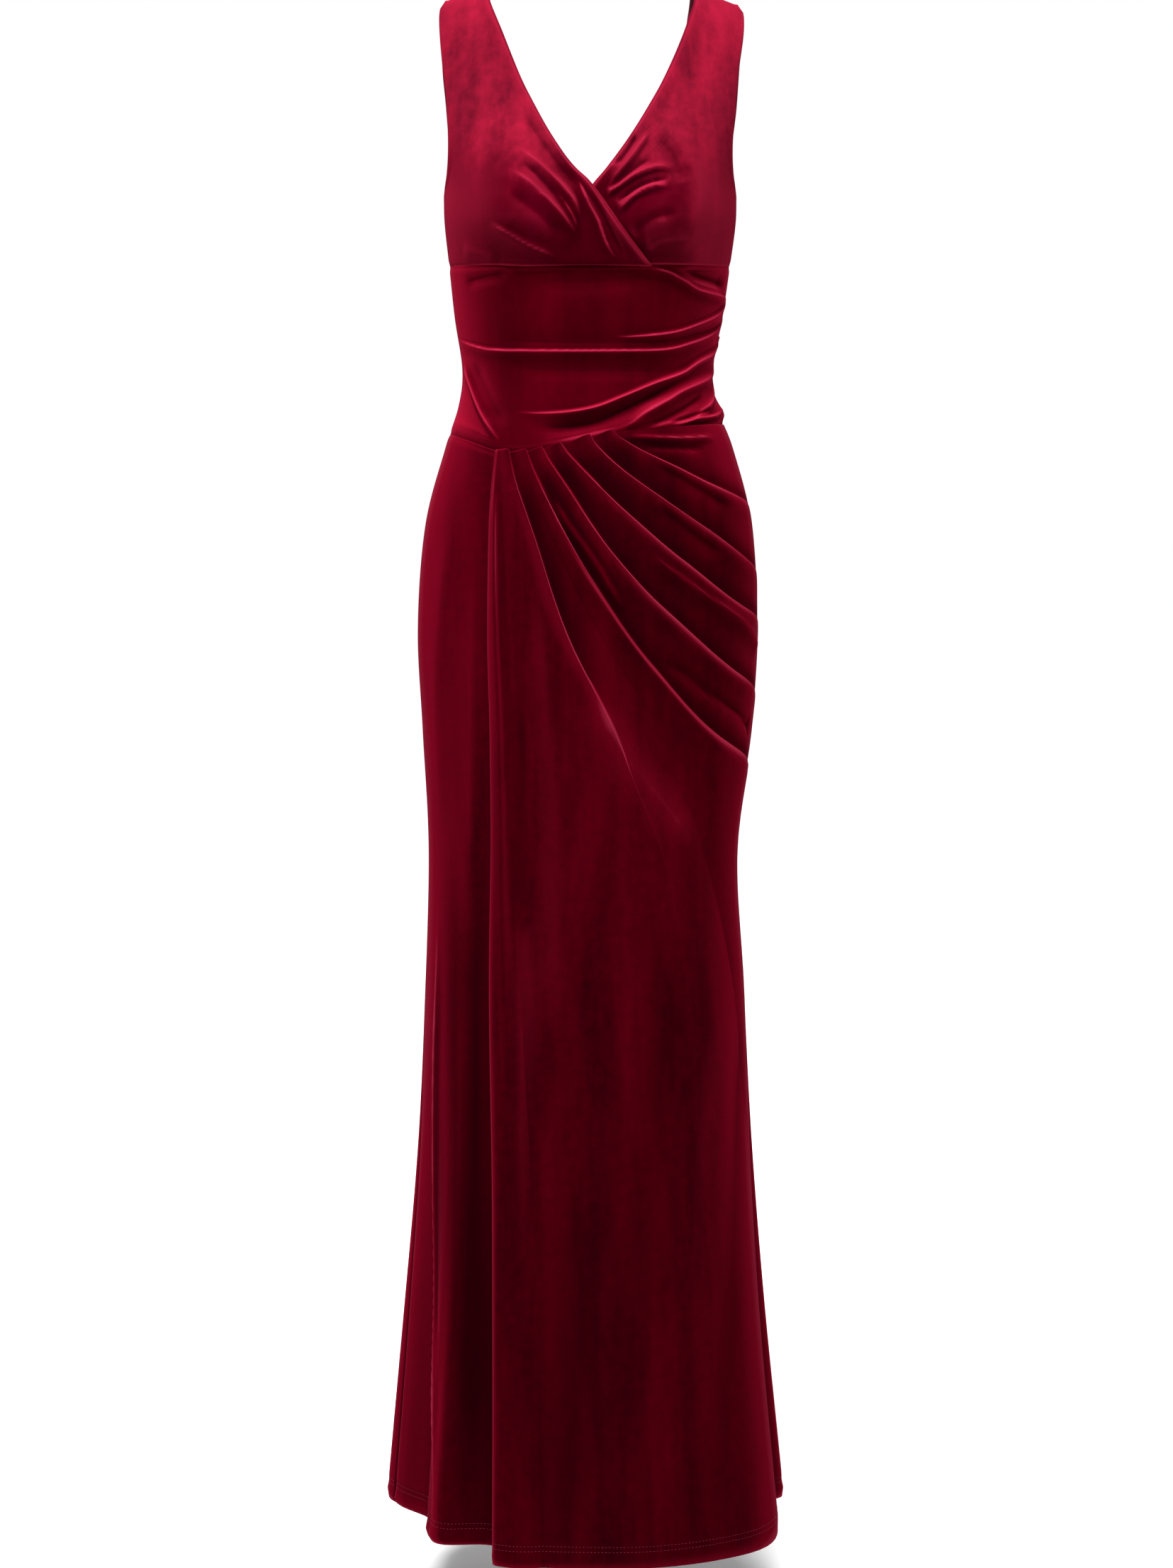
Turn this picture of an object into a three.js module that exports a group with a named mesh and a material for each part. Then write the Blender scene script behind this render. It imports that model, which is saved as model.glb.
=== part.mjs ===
// Evening dress in stretch velvet, in the hollow form that it takes when worn.
// Millimetres, +Z up, +X to the right of the front view, the front faces -Y.
// The origin lies midway between the shoulder straps, at the height of the wearer's shoulders.
import * as THREE from 'three';

// Driving dimensions
const CLOTH = 2; // wall of every panel
const SEAM = 0.3; // space between two panels at a seam
const HEM_Z = -1494; // the hem, all round
const UNDERBUST_Z = -252;
const SHOULDER_SLOPE = 0.38; // rise of the strap towards the neck
const SHOULDER_MIDDLE_X = 128;
const SLOPE_FADES_Z = -90;
const CUP = { x: [-70, 76], z: -205, out: 30, wide: 44, above: 62, below: 36 };
const UNDERLAP = 1 / 12; // where the plain front panel ends under the drape, in quarter turns past the centre
const WRAP_LIFT = 4.2; // how far the upper wrap panel lies over the lower one
const FLARE_STARTS_Z = -800;

// Half widths and depths of the whole figure, one row for each level from shoulder to hem
const FORM = table('z left right middle front back square', [
  [0, 140, 150, 0, 0, 0, 2.7],
  [-4, 141, 151, 0, 17, 17, 2.7],
  [-14, 143, 153, 0, 31, 31, 2.8],
  [-35, 147, 157, -1, 45, 46, 2.8],
  [-65, 149, 158, -2, 56, 61, 2.8],
  [-100, 146, 156, -4, 66, 74, 2.8],
  [-140, 142, 150, -5, 78, 86, 2.7],
  [-175, 137, 144, -6, 86, 90, 2.5],
  [-210, 136, 143, -6, 91, 91, 2.4],
  [-250, 132, 138, -5, 90, 87, 2.3],
  [-300, 127, 131, -4, 85, 82, 2.2],
  [-350, 120, 122, -3, 81, 83, 2.2],
  [-385, 124, 126, -2, 88, 90, 2.2],
  [-425, 137, 142, -1, 99, 103, 2.2],
  [-500, 157, 161, 0, 105, 124, 2.2],
  [-600, 165, 167, 0, 105, 132, 2.2],
  [-700, 161, 162, 0, 104, 126, 2.2],
  [-820, 156, 148, 0, 106, 118, 2.2],
  [-960, 161, 157, 0, 115, 123, 2.2],
  [-1120, 169, 165, 0, 127, 135, 2.2],
  [-1300, 184, 178, 0, 142, 153, 2.3],
  [-1500, 202, 197, 0, 158, 174, 2.4],
]);

// How far the hem swings out or in, going once round: -1 and 1 are the side seams, 0 the centre front
const HEM_WAVE = table('across out', [
  [-2, 12],
  [-1.75, -8],
  [-1.5, 13],
  [-1.28, -6],
  [-1.09, 3],
  [-0.96, -8],
  [-0.78, -27],
  [-0.6, -12],
  [-0.5, -7],
  [-0.37, -26],
  [-0.15, -18],
  [0.15, -3],
  [0.43, 3],
  [0.62, 7],
  [0.85, -2],
  [1, -7],
  [1.08, 5],
  [1.3, -8],
  [1.6, 12],
  [1.8, -8],
  [2, 12],
]);

// Half opening of the armhole, front to back, at each height
const ARMHOLE = table('z half', [
  [0, 0],
  [-4, 5],
  [-14, 11],
  [-35, 22],
  [-65, 32],
  [-100, 39],
  [-140, 42],
  [-165, 34],
  [-181, 19],
  [-189, 0],
]);

// The neck edge of the upper wrap panel, which goes on as its free edge down to the underbust seam
const NECK_UPPER = table('z x', [
  [0, -95],
  [-20, -90],
  [-50, -76],
  [-85, -58],
  [-125, -36],
  [-160, -12],
  [-179, 6],
  [-216, 34],
  [-252, 61],
]);

// The neck edge of the lower wrap panel, which goes on unseen under the upper one
const NECK_LOWER = table('z x', [
  [0, 105],
  [-20, 100],
  [-50, 88],
  [-85, 69],
  [-125, 45],
  [-160, 20],
  [-185, 0],
  [-252, -46],
]);

// The neck edge of the back, as a distance from the centre back
const NECK_BACK = table('z x', [
  [0, 100],
  [-20, 98],
  [-60, 90],
  [-110, 68],
  [-160, 38],
  [-200, 12],
  [-214, 0],
]);

// The seam between the midriff and the skirt, from the side seam at x left to the one at x right
const WAIST_SEAM = table('x z', [
  [-140, -409],
  [-113, -416],
  [-87, -424],
  [-60, -426],
  [-25, -420],
  [24, -409],
  [75, -403],
  [142, -402],
]);

// Soft folds of the midriff: each runs from x start to x end, and most gather into the left side seam
const MIDRIFF_FOLDS = table('start startZ end endZ bend out width', [
  [30, -246, 139, -285, 1.3, 4, 6],
  [0, -320, 134, -293, 3, 4, 6],
  [-123, -322, 128, -311, 6, 5, 7],
  [-85, -388, 127, -328, 2.2, 6, 8],
  [-10, -412, 129, -352, 1.5, 4, 7],
  [30, -416, 133, -384, 1.2, 4, 7],
]);

// Gathers of the two bust panels, from the wrap towards the cups
const UPPER_GATHERS = table('startX startZ endX endZ out width', [
  [-8, -180, -56, -158, 2.5, 5],
  [-10, -206, -66, -172, 3, 6],
  [20, -240, -2, -176, 2.5, 4],
]);
const LOWER_GATHERS = table('startX startZ endX endZ out width', [
  [14, -172, 52, -128, 2.5, 5],
  [14, -186, 74, -164, 3, 6],
  [30, -200, 74, -178, 2.5, 5],
]);

// The drape's lines, each from its head on the waist seam to its foot on the hem or the side seam.
// Across counts quarter turns from the centre front, and 1 is the left side seam.
// Lift is how far the line's edge stands over the pleat beyond it.
const DRAPE_LINES = [
  line('free edge', 0, [-0.42, -427], [-0.385, -520], [-0.374, -660], [-0.37, -880], [-0.334, -1150], [-0.29, -1500]),
  line('edge fold', 0, [-0.38, -427], [-0.32, -510], [-0.285, -640], [-0.265, -850], [-0.19, -1130], [-0.13, -1500]),
  line('first pleat', 6, [-0.34, -427], [-0.2, -500], [-0.06, -602], [0.16, -724], [0.4, -930], [0.3, -1500]),
  line('hem corner', 0, [-0.3, -427], [-0.16, -490], [0.03, -588], [0.33, -722], [0.68, -940], [1, -1500]),
  line('second pleat', 7, [-0.262, -426], [-0.14, -475], [0.02, -545], [0.23, -625], [0.52, -697], [1, -742]),
  line('third pleat', 7, [-0.192, -423], [-0.07, -461], [0.1, -522], [0.29, -576], [0.58, -634], [1, -672]),
  line('fourth pleat', 6, [-0.113, -419], [0.01, -448], [0.17, -487], [0.36, -529], [0.62, -572], [1, -598]),
  line('fifth pleat', 6, [0.014, -414], [0.12, -438], [0.27, -466], [0.45, -497], [0.69, -530], [1, -552]),
  line('sixth pleat', 5, [0.113, -409], [0.22, -424], [0.36, -440], [0.53, -459], [0.74, -474], [1, -484]),
  line('waist side', 0, [0.2, -407], [0.32, -405], [0.46, -403], [0.62, -402], [0.8, -402], [1, -402]),
];
const DRAPE_CLEARANCE = 1.2; // between the plain panel and the drape's inside
const EDGE_LIFT = 34; // how far the free edge stands off at the hem
const PLEAT_EDGE = 0.065; // half of a pleat's steep side, as a share of the way to the next line

// Panels' colours, crimson where the pile catches the light and wine where it drinks it
const BODICE = velvet('#a3173f');
const MIDRIFF = velvet('#8a0f2e');
const SKIRT = velvet('#5e0a1f');

function velvet(colour) {
  return new THREE.MeshStandardMaterial({ color: colour, roughness: 0.85, metalness: 0 });
}

function table(names, rows) {
  const columns = names.split(' ');
  return rows.map((row) => Object.fromEntries(columns.map((name, i) => [name, row[i]])));
}

function line(name, lift, ...stations) {
  return { name, lift, stations: table('across z', stations) };
}

function smooth(from, to, value) {
  const t = THREE.MathUtils.clamp((value - from) / (to - from), 0, 1);
  return t * t * (3 - 2 * t);
}

// A smooth curve through one column of a table, counted in rows from 0
function along(rows, column, place) {
  const last = rows.length - 1;
  const i = Math.min(Math.floor(place), last - 1);
  const row = (n) => rows[THREE.MathUtils.clamp(n, 0, last)][column];
  const t = place - i;
  const before = i > 0 ? row(i - 1) : 2 * row(0) - row(1);
  const after = i + 2 <= last ? row(i + 2) : 2 * row(last) - row(last - 1);
  const bend = 2 * before - 5 * row(i) + 4 * row(i + 1) - after;
  const twist = 3 * row(i) - 3 * row(i + 1) + after - before;
  return row(i) + 0.5 * t * (row(i + 1) - before + t * (bend + t * twist));
}

// The place, counted in rows, where a column that rises or falls all the way has a value
function placeOf(rows, column, value) {
  const rises = rows.at(-1)[column] > rows[0][column];
  let low = 0;
  let high = rows.length - 1;
  for (let step = 0; step < 40; step += 1) {
    const middle = (low + high) / 2;
    if (along(rows, column, middle) < value === rises) low = middle;
    else high = middle;
  }
  return (low + high) / 2;
}

function read(rows, from, to, value) {
  return along(rows, to, placeOf(rows, from, value));
}

function levelOf(z) {
  return placeOf(FORM, 'z', z);
}

function ringAt(level) {
  return Object.fromEntries(Object.keys(FORM[0]).map((name) => [name, along(FORM, name, level)]));
}

// Where a point x to the side of the centre front lies on its way round, in quarter turns
function acrossOf(x, level) {
  const ring = ringAt(level);
  const share = Math.min(1, Math.abs(x) / (x < 0 ? ring.left : ring.right));
  const rest = (1 - share ** ring.square) ** (1 / ring.square);
  return (Math.sign(x) * Math.atan2(share, rest)) / (Math.PI / 2);
}

// Where the armhole's edge lies on its way round, a quarter turn less than its own opening
function armholeAcross(level, depth) {
  const ring = ringAt(level);
  if (ring.z < ARMHOLE.at(-1).z) return 1;
  const half = Math.max(0, read(ARMHOLE, 'z', 'half', Math.min(0, ring.z)));
  const share = Math.min(1, Math.max(half / Math.max(ring[depth], 1), 0.4 * smooth(-20, 0, ring.z)));
  const rest = (1 - share ** ring.square) ** (1 / ring.square);
  return Math.atan2(rest, share) / (Math.PI / 2);
}

function cups(x, z) {
  const fall = z > CUP.z ? CUP.above : CUP.below;
  const swell = (cx) => Math.exp(-(((x - cx) / CUP.wide) ** 2) - ((z - CUP.z) / fall) ** 2);
  return CUP.out * CUP.x.reduce((sum, cx) => sum + swell(cx), 0);
}

function hemWave(across, z) {
  const turn = ((((across + 2) % 4) + 4) % 4) - 2;
  const grown = smooth(FLARE_STARTS_Z, HEM_Z, z) ** 1.1;
  return grown * read(HEM_WAVE, 'across', 'out', turn);
}

// A point of the figure; across goes round in quarter turns, level counts rows of FORM
function formPoint(across, level) {
  const ring = ringAt(level);
  const angle = (across * Math.PI) / 2;
  const sine = Math.sin(angle);
  const cosine = Math.cos(angle);
  const reach = (Math.abs(sine) ** ring.square + Math.abs(cosine) ** ring.square) ** (-1 / ring.square);
  const swing = 1 + hemWave(across, ring.z) / 150;
  const x = (sine < 0 ? ring.left : ring.right) * sine * reach * swing;
  const depth = cosine > 0 ? ring.front : ring.back;
  const bust = cosine > 0 ? cups(x, ring.z) * smooth(0, 0.35, cosine) : 0;
  const y = ring.middle - depth * cosine * reach * swing - bust;
  const faded = smooth(SLOPE_FADES_Z, 0, ring.z);
  const z = ring.z + SHOULDER_SLOPE * (SHOULDER_MIDDLE_X - Math.abs(x)) * faded;
  return new THREE.Vector3(x, y, z);
}

function outward(across, level) {
  const d = 0.004;
  const low = Math.max(d, Math.min(FORM.length - 1 - d, level));
  const sideways = formPoint(across + d, low).sub(formPoint(across - d, low));
  const down = formPoint(across, low + d).sub(formPoint(across, low - d));
  return down.cross(sideways).normalize();
}

// A cloth wall over a net of places, each {across, level, out, y}: out is the outer face's height
// over the figure, and y, where it is given, lays the point on the plane of the shoulder seam
function cloth(name, material, columns, rows, place) {
  const position = [];
  for (const depth of [0, CLOTH]) {
    for (const v of rows) {
      for (const u of columns) {
        const { across, level, out = 0, y } = place(u, v);
        const point = formPoint(across, level).addScaledVector(outward(across, level), out - depth);
        if (y !== undefined) point.y = y;
        position.push(point.x, point.y, point.z);
      }
    }
  }
  const width = columns.length;
  const layer = width * rows.length;
  const index = [];
  const quad = (a, b, c, d) => index.push(a, b, c, a, c, d);
  for (let j = 0; j < rows.length - 1; j += 1) {
    for (let i = 0; i < width - 1; i += 1) {
      const a = j * width + i;
      quad(a, a + width, a + width + 1, a + 1);
      quad(layer + a, layer + a + 1, layer + a + width + 1, layer + a + width);
    }
  }
  for (let i = 0; i < width - 1; i += 1) {
    const foot = layer - width + i;
    quad(i, i + 1, layer + i + 1, layer + i);
    quad(foot, layer + foot, layer + foot + 1, foot + 1);
  }
  for (let j = 0; j < rows.length - 1; j += 1) {
    const start = j * width;
    const end = start + width - 1;
    quad(start, layer + start, layer + start + width, start + width);
    quad(end, end + width, layer + end + width, layer + end);
  }
  const geometry = new THREE.BufferGeometry();
  geometry.setAttribute('position', new THREE.Float32BufferAttribute(position, 3));
  geometry.setIndex(index);
  geometry.computeVertexNormals();
  const mesh = new THREE.Mesh(geometry, material);
  mesh.name = name;
  return mesh;
}

function evenly(count) {
  return Array.from({ length: count + 1 }, (_, i) => i / count);
}

function mix(a, b, t) {
  return a + (b - a) * t;
}

// Steps of half a seam, sideways in quarter turns and upwards in rows of FORM
function seamAcross(level) {
  return SEAM / 2 / (ringAt(level).front + 20);
}

function seamLevel(level, direction) {
  return levelOf(ringAt(level).z + (direction * SEAM) / 2);
}

// Height of a soft fold along a straight line in the front view
function gather(rows, x, z) {
  let height = 0;
  for (const fold of rows) {
    const run = new THREE.Vector2(fold.endX - fold.startX, fold.endZ - fold.startZ);
    const from = new THREE.Vector2(x - fold.startX, z - fold.startZ);
    const share = from.dot(run) / run.lengthSq();
    const off = Math.abs(run.cross(from)) / run.length();
    const ends = smooth(-0.15, 0.3, share) * (1 - smooth(0.6, 1.2, share));
    height += fold.out * ends * Math.exp(-((off / fold.width) ** 2));
  }
  return height;
}

const UNDERBUST = levelOf(UNDERBUST_Z);
const SHOULDER = 0.06; // the row nearest the shoulder seam

// Rows of a bodice panel, closer together over the shoulder, down to the underbust seam
function bodiceLevel(v) {
  return mix(SHOULDER, seamLevel(UNDERBUST, 1), v);
}

function bustUpper() {
  return cloth('bodice_front_right', BODICE, evenly(14), evenly(22), (u, v) => {
    const level = bodiceLevel(v);
    const { z } = ringAt(level);
    const armhole = -armholeAcross(level, 'front') + seamAcross(level);
    const across = mix(armhole, acrossOf(read(NECK_UPPER, 'z', 'x', z), level), u);
    const { x } = formPoint(across, level);
    const under = read(NECK_LOWER, 'z', 'x', z);
    const lapped = smooth(under - 50, under - 6, x) * smooth(-110, -170, z);
    const out = WRAP_LIFT * lapped + gather(UPPER_GATHERS, x, z);
    return { across, level, out, y: v === 0 ? -SEAM / 2 : undefined };
  });
}

function bustLower() {
  return cloth('bodice_front_left', BODICE, evenly(14), evenly(22), (u, v) => {
    const level = bodiceLevel(v);
    const { z } = ringAt(level);
    const armhole = armholeAcross(level, 'front') - seamAcross(level);
    const across = mix(acrossOf(read(NECK_LOWER, 'z', 'x', z), level), armhole, u);
    const { x } = formPoint(across, level);
    const edge = read(NECK_UPPER, 'z', 'x', z);
    const shown = smooth(edge + 6, edge + 24, x);
    const out = shown * gather(LOWER_GATHERS, x, z);
    return { across, level, out, y: v === 0 ? -SEAM / 2 : undefined };
  });
}

function bodiceBack(name, side) {
  return cloth(name, BODICE, evenly(10), evenly(14), (u, v) => {
    const level = bodiceLevel(v);
    const { z } = ringAt(level);
    const armhole = 2 - armholeAcross(level, 'back') + seamAcross(level);
    const neck = z > NECK_BACK.at(-1).z ? read(NECK_BACK, 'z', 'x', z) : 0;
    const centre = 2 - Math.max(backAcross(neck, level), seamAcross(level));
    const across = side > 0 ? mix(armhole, centre, u) : mix(-centre, -armhole, u);
    return { across, level, y: v === 0 ? SEAM / 2 : undefined };
  });
}

// Like acrossOf, counted from the centre back
function backAcross(x, level) {
  return Math.abs(acrossOf(x, level));
}

function waistLevel(x) {
  const held = THREE.MathUtils.clamp(x, WAIST_SEAM[0].x, WAIST_SEAM.at(-1).x);
  return levelOf(read(WAIST_SEAM, 'x', 'z', held));
}

function waistLevelAt(across) {
  let level = levelOf(-410);
  for (let step = 0; step < 4; step += 1) level = waistLevel(formPoint(across, level).x);
  return level;
}

function midriffFolds(x, z) {
  let height = 0;
  for (const fold of MIDRIFF_FOLDS) {
    const share = (x - fold.start) / (fold.end - fold.start);
    const middle = mix(fold.startZ, fold.endZ, Math.max(0, share) ** fold.bend);
    const wide = z > middle ? fold.width * 1.8 : fold.width;
    const ends = smooth(-0.05, 0.3, share);
    height += fold.out * ends * Math.exp(-(((z - middle) / wide) ** 2));
  }
  return height;
}

function midriffFront() {
  const gap = seamAcross(UNDERBUST);
  return cloth('midriff_front', MIDRIFF, evenly(24), evenly(20), (u, v) => {
    const across = mix(-1 + gap, 1 - gap, u);
    const top = seamLevel(UNDERBUST, -1);
    const level = mix(top, seamLevel(waistLevelAt(across), 1), v);
    const { x, z } = formPoint(across, level);
    const held = smooth(0, 0.08, v) * (1 - smooth(0.94, 1, v));
    const flat = 1 - 0.5 * smooth(0.86, 1, across);
    return { across, level, out: held * flat * midriffFolds(x, z) };
  });
}

function midriffBack() {
  const gap = seamAcross(UNDERBUST);
  return cloth('midriff_back', MIDRIFF, evenly(20), evenly(10), (u, v) => {
    const across = mix(1 + gap, 3 - gap, u);
    const { x } = formPoint(across, UNDERBUST);
    const side = mix(waistLevelAt(1), waistLevelAt(-1), smooth(142, -140, x));
    return { across, level: mix(seamLevel(UNDERBUST, -1), seamLevel(side, 1), v) };
  });
}

function skirtPlain() {
  const hem = levelOf(HEM_Z);
  const gap = seamAcross(UNDERBUST);
  return cloth('skirt_front_right', SKIRT, evenly(13), evenly(24), (u, v) => {
    const across = mix(-1 + gap, UNDERLAP, u);
    const level = mix(seamLevel(waistLevelAt(across), -1), hem, v);
    return { across, level };
  });
}

// A place on the drape: c counts its lines from the free edge, station counts the rows of each line
function drapePlace(c, station) {
  const i = Math.min(Math.floor(c), DRAPE_LINES.length - 2);
  const blend = (column, at) => {
    const lower = along(DRAPE_LINES[i].stations, column, at);
    return mix(lower, along(DRAPE_LINES[i + 1].stations, column, at), c - i);
  };
  const across = blend('across', station);
  const onWaist = waistLevelAt(c === DRAPE_LINES.length - 1 ? across : blend('across', 0));
  const atSeam = seamLevel(onWaist, -1);
  if (station === 0 || c === DRAPE_LINES.length - 1) return { across: edged(across, atSeam), level: atSeam };
  const settle = (1 - Math.min(1, station)) * (ringAt(atSeam).z - blend('z', 0));
  const level = Math.min(FORM.length - 1, levelOf(blend('z', station) + settle));
  return { across: edged(across, level), level };
}

function edged(across, level) {
  return Math.min(across, 1 - seamAcross(level));
}

// Each pleat rises from the one before and ends in a steep edge on its line
function pleatHeight(c, station) {
  const edges = DRAPE_LINES.map((l, i) => (l.lift > 0 ? i : -1)).filter((i) => i > 0);
  const next = edges.find((i) => c < i);
  if (next === undefined) return 0;
  const before = edges.filter((i) => i < next).at(-1) ?? 0;
  const rise = THREE.MathUtils.clamp((c - before - PLEAT_EDGE) / (next - before - 2 * PLEAT_EDGE), 0, 1);
  const fades = next === edges[0] ? 1 - smooth(2.4, 3.6, station) : 1 - 0.6 * smooth(3.5, 5, station);
  return DRAPE_LINES[next].lift * rise ** 1.5 * fades * mix(0.4, 1, smooth(0, 1.2, station));
}

function edgeHeight(c, station) {
  const fallen = smooth(1.6, 5, station);
  const rolled = 5 * Math.exp(-(((c - 0.4) / 0.45) ** 2)) * smooth(0.3, 2, station);
  return EDGE_LIFT * fallen * (1 - smooth(0, 2.2, c)) + rolled;
}

function skirtDrape() {
  const steps = [2, 3, 4, 4, 3, 3, 3, 3, 2];
  const columns = [0];
  steps.forEach((count, i) => {
    const from = DRAPE_LINES[i].lift > 0 ? i + PLEAT_EDGE : i;
    const to = DRAPE_LINES[i + 1].lift > 0 ? i + 1 - PLEAT_EDGE : i + 1;
    if (from > i) columns.push(from);
    for (let k = 1; k <= count; k += 1) columns.push(mix(from, to, k / count));
  });
  const stations = evenly(30).map((v) => 5 * v);
  return cloth('skirt_front_drape', SKIRT, columns, stations, (c, station) => {
    const { across, level } = drapePlace(c, station);
    const over = (CLOTH + DRAPE_CLEARANCE) * (1 - smooth(0.5, 1, across));
    const held = 1 - smooth(0.97, 1, across);
    return { across, level, out: over + pleatHeight(c, station) * mix(0.5, 1, held) + edgeHeight(c, station) };
  });
}

function skirtBack(name, side) {
  const hem = levelOf(HEM_Z);
  return cloth(name, SKIRT, evenly(12), evenly(20), (u, v) => {
    const gap = seamAcross(levelOf(-600));
    const across = side > 0 ? mix(1 + gap, 2 - gap, u) : mix(-2 + gap, -1 - gap, u);
    const { x } = formPoint(across, levelOf(-410));
    const top = mix(waistLevelAt(1), waistLevelAt(-1), smooth(142, -140, x));
    return { across, level: mix(seamLevel(top, -1), hem, v) };
  });
}

const dress = new THREE.Group();
dress.add(
  bustUpper(),
  bustLower(),
  bodiceBack('bodice_back_right', -1),
  bodiceBack('bodice_back_left', 1),
  midriffFront(),
  midriffBack(),
  skirtPlain(),
  skirtDrape(),
  skirtBack('skirt_back_right', -1),
  skirtBack('skirt_back_left', 1),
);
export default dress;
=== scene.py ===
"""Evening dress in stretch velvet, in the hollow form that it takes when worn, sewn panel by panel."""

import math

import bmesh
import bpy
import numpy as np
from mathutils import Matrix, Vector


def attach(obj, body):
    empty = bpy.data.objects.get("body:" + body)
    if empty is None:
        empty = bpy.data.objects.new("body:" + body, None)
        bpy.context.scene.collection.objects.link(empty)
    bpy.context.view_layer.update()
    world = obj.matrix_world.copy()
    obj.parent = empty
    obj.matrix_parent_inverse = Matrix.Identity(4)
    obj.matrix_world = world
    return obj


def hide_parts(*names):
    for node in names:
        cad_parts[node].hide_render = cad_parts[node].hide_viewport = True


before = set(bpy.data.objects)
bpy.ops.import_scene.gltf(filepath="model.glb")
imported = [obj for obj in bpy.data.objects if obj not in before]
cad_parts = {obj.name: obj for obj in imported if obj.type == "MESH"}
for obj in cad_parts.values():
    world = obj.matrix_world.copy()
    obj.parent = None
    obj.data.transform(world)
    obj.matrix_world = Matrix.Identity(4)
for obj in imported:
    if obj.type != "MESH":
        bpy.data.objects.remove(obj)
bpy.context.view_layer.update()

MM = 0.001

# The figure that the dress is cut for, in millimetres from the shoulders, one row for each level


def table(names, rows):
    """The columns of a short table, by name."""
    return dict(zip(names.split(), np.array(rows, float).T))


FORM = table("z left right middle front back square", [
    (0, 140, 150, 0, 0, 0, 2.7),
    (-4, 141, 151, 0, 17, 17, 2.7),
    (-14, 143, 153, 0, 31, 31, 2.8),
    (-35, 147, 157, -1, 45, 46, 2.8),
    (-65, 149, 158, -2, 56, 61, 2.8),
    (-100, 146, 156, -4, 66, 74, 2.8),
    (-140, 142, 150, -5, 78, 86, 2.7),
    (-175, 137, 144, -6, 86, 90, 2.5),
    (-210, 136, 143, -6, 91, 91, 2.4),
    (-250, 132, 138, -5, 90, 87, 2.3),
    (-300, 127, 131, -4, 85, 82, 2.2),
    (-350, 120, 122, -3, 81, 83, 2.2),
    (-385, 124, 126, -2, 88, 90, 2.2),
    (-425, 137, 142, -1, 99, 103, 2.2),
    (-500, 157, 161, 0, 105, 124, 2.2),
    (-600, 165, 167, 0, 105, 132, 2.2),
    (-700, 161, 162, 0, 104, 126, 2.2),
    (-820, 156, 148, 0, 106, 118, 2.2),
    (-960, 161, 157, 0, 115, 123, 2.2),
    (-1120, 169, 165, 0, 127, 135, 2.2),
    (-1300, 184, 178, 0, 142, 153, 2.3),
    (-1500, 202, 197, 0, 158, 174, 2.4),
])

# How far the hem swings out or in, once round: -1 and 1 are the side seams, 0 the centre front
HEM_WAVE = table("across out", [
    (-2, 12), (-1.75, -8), (-1.5, 13), (-1.28, -6), (-1.09, 3), (-0.96, -8), (-0.78, -27),
    (-0.6, -12), (-0.5, -7), (-0.37, -26), (-0.15, -18), (0.15, -3), (0.43, 3), (0.62, 7),
    (0.85, -2), (1, -7), (1.08, 5), (1.3, -8), (1.6, 12), (1.8, -8), (2, 12),
])

LEAST_ARMHOLE = 0.4  # share of the figure's depth that the opening takes at the shoulder's top
ARMHOLE = table("z half", [
    (0, 0), (-4, 5), (-14, 11), (-35, 22), (-65, 32), (-100, 39), (-140, 42), (-165, 34),
    (-181, 19), (-189, 0),
])
NECK_UPPER = table("z x", [
    (0, -95), (-20, -90), (-50, -76), (-85, -58), (-125, -36), (-160, -12), (-179, 6),
    (-216, 34), (-252, 61),
])
NECK_LOWER = table("z x", [
    (0, 105), (-20, 100), (-50, 88), (-85, 69), (-125, 45), (-160, 20), (-185, 0), (-252, -46),
])
NECK_BACK = table("z x", [
    (0, 100), (-20, 98), (-60, 90), (-110, 68), (-160, 38), (-200, 12), (-214, 0),
])
WAIST_SEAM = table("x z", [
    (-140, -409), (-113, -416), (-87, -424), (-60, -426), (-25, -420), (24, -409), (75, -403),
    (142, -402),
])

CLOTH = 1.2  # pile and ground together
KNIT_ROW = 0.9
HEM_Z = -1494
UNDERBUST_Z = -252
SHOULDER_SLOPE = 0.38
SHOULDER_MIDDLE_X = 128
SLOPE_FADES_Z = -90
CUPS_X = (-70, 76)
CUP_Z, CUP_OUT, CUP_WIDE, CUP_ABOVE, CUP_BELOW = -205, 30, 44, 62, 36
FLARE_STARTS_Z = -800
SWING_RADIUS = 150
UNDERLAP = 1 / 12  # where the plain front panel ends under the drape
WRAP_LIFT = 4.2  # of the upper bust panel, where it lies on the lower one
WRAP_Z = (-110, -170)  # where that starts, and where it has its full height
WRAP_BESIDE = (50, 6)  # how far outside the lower panel's edge it starts, and is full
COVERED_Z, COVERED_BESIDE = -176, (2, 14)  # where the lower panel runs in under the upper one
DRAPE_LIFT = 3.2  # over the plain panel
EDGE_LIFT = 34  # of its free edge, at the hem
BAND_LIFT = 5  # of the soft fold beside that edge
HEAD_STEP = 3.5  # how far a pleat's head stands up over the midriff
SEAM_TUCK = 0.9  # how far a seam draws the velvet in
SEAM_WIDTH = 3.5
EDGE_FULL, EDGE_ROUND = 0.7, 1.6  # how a turned edge swells, and how it drops away at its end
SHOULDER_LEVEL = 0.02  # where the straps start, just under the figure's first row
SHARP_TURN = 0.15  # of the cloth over a crest, per millimetre
TURN_HIGHLIGHT, UPWARD_SLOPE_HIGHLIGHT = 0.7, 0.8  # how much painted highlight that gives, and a slope that faces up, as if lit from above; a hollow gets painted shade
CREASE_ENDS = 0.25  # share of its length in which a crease rises, and in which it fades
CREASE_FLANK = 1.7  # how its flanks fall: 1 is a sharp crest, 2 a round one
SIDE_SEAM_X = 149  # a crease that is drawn past this runs into the seam and doesn't fade

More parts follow.
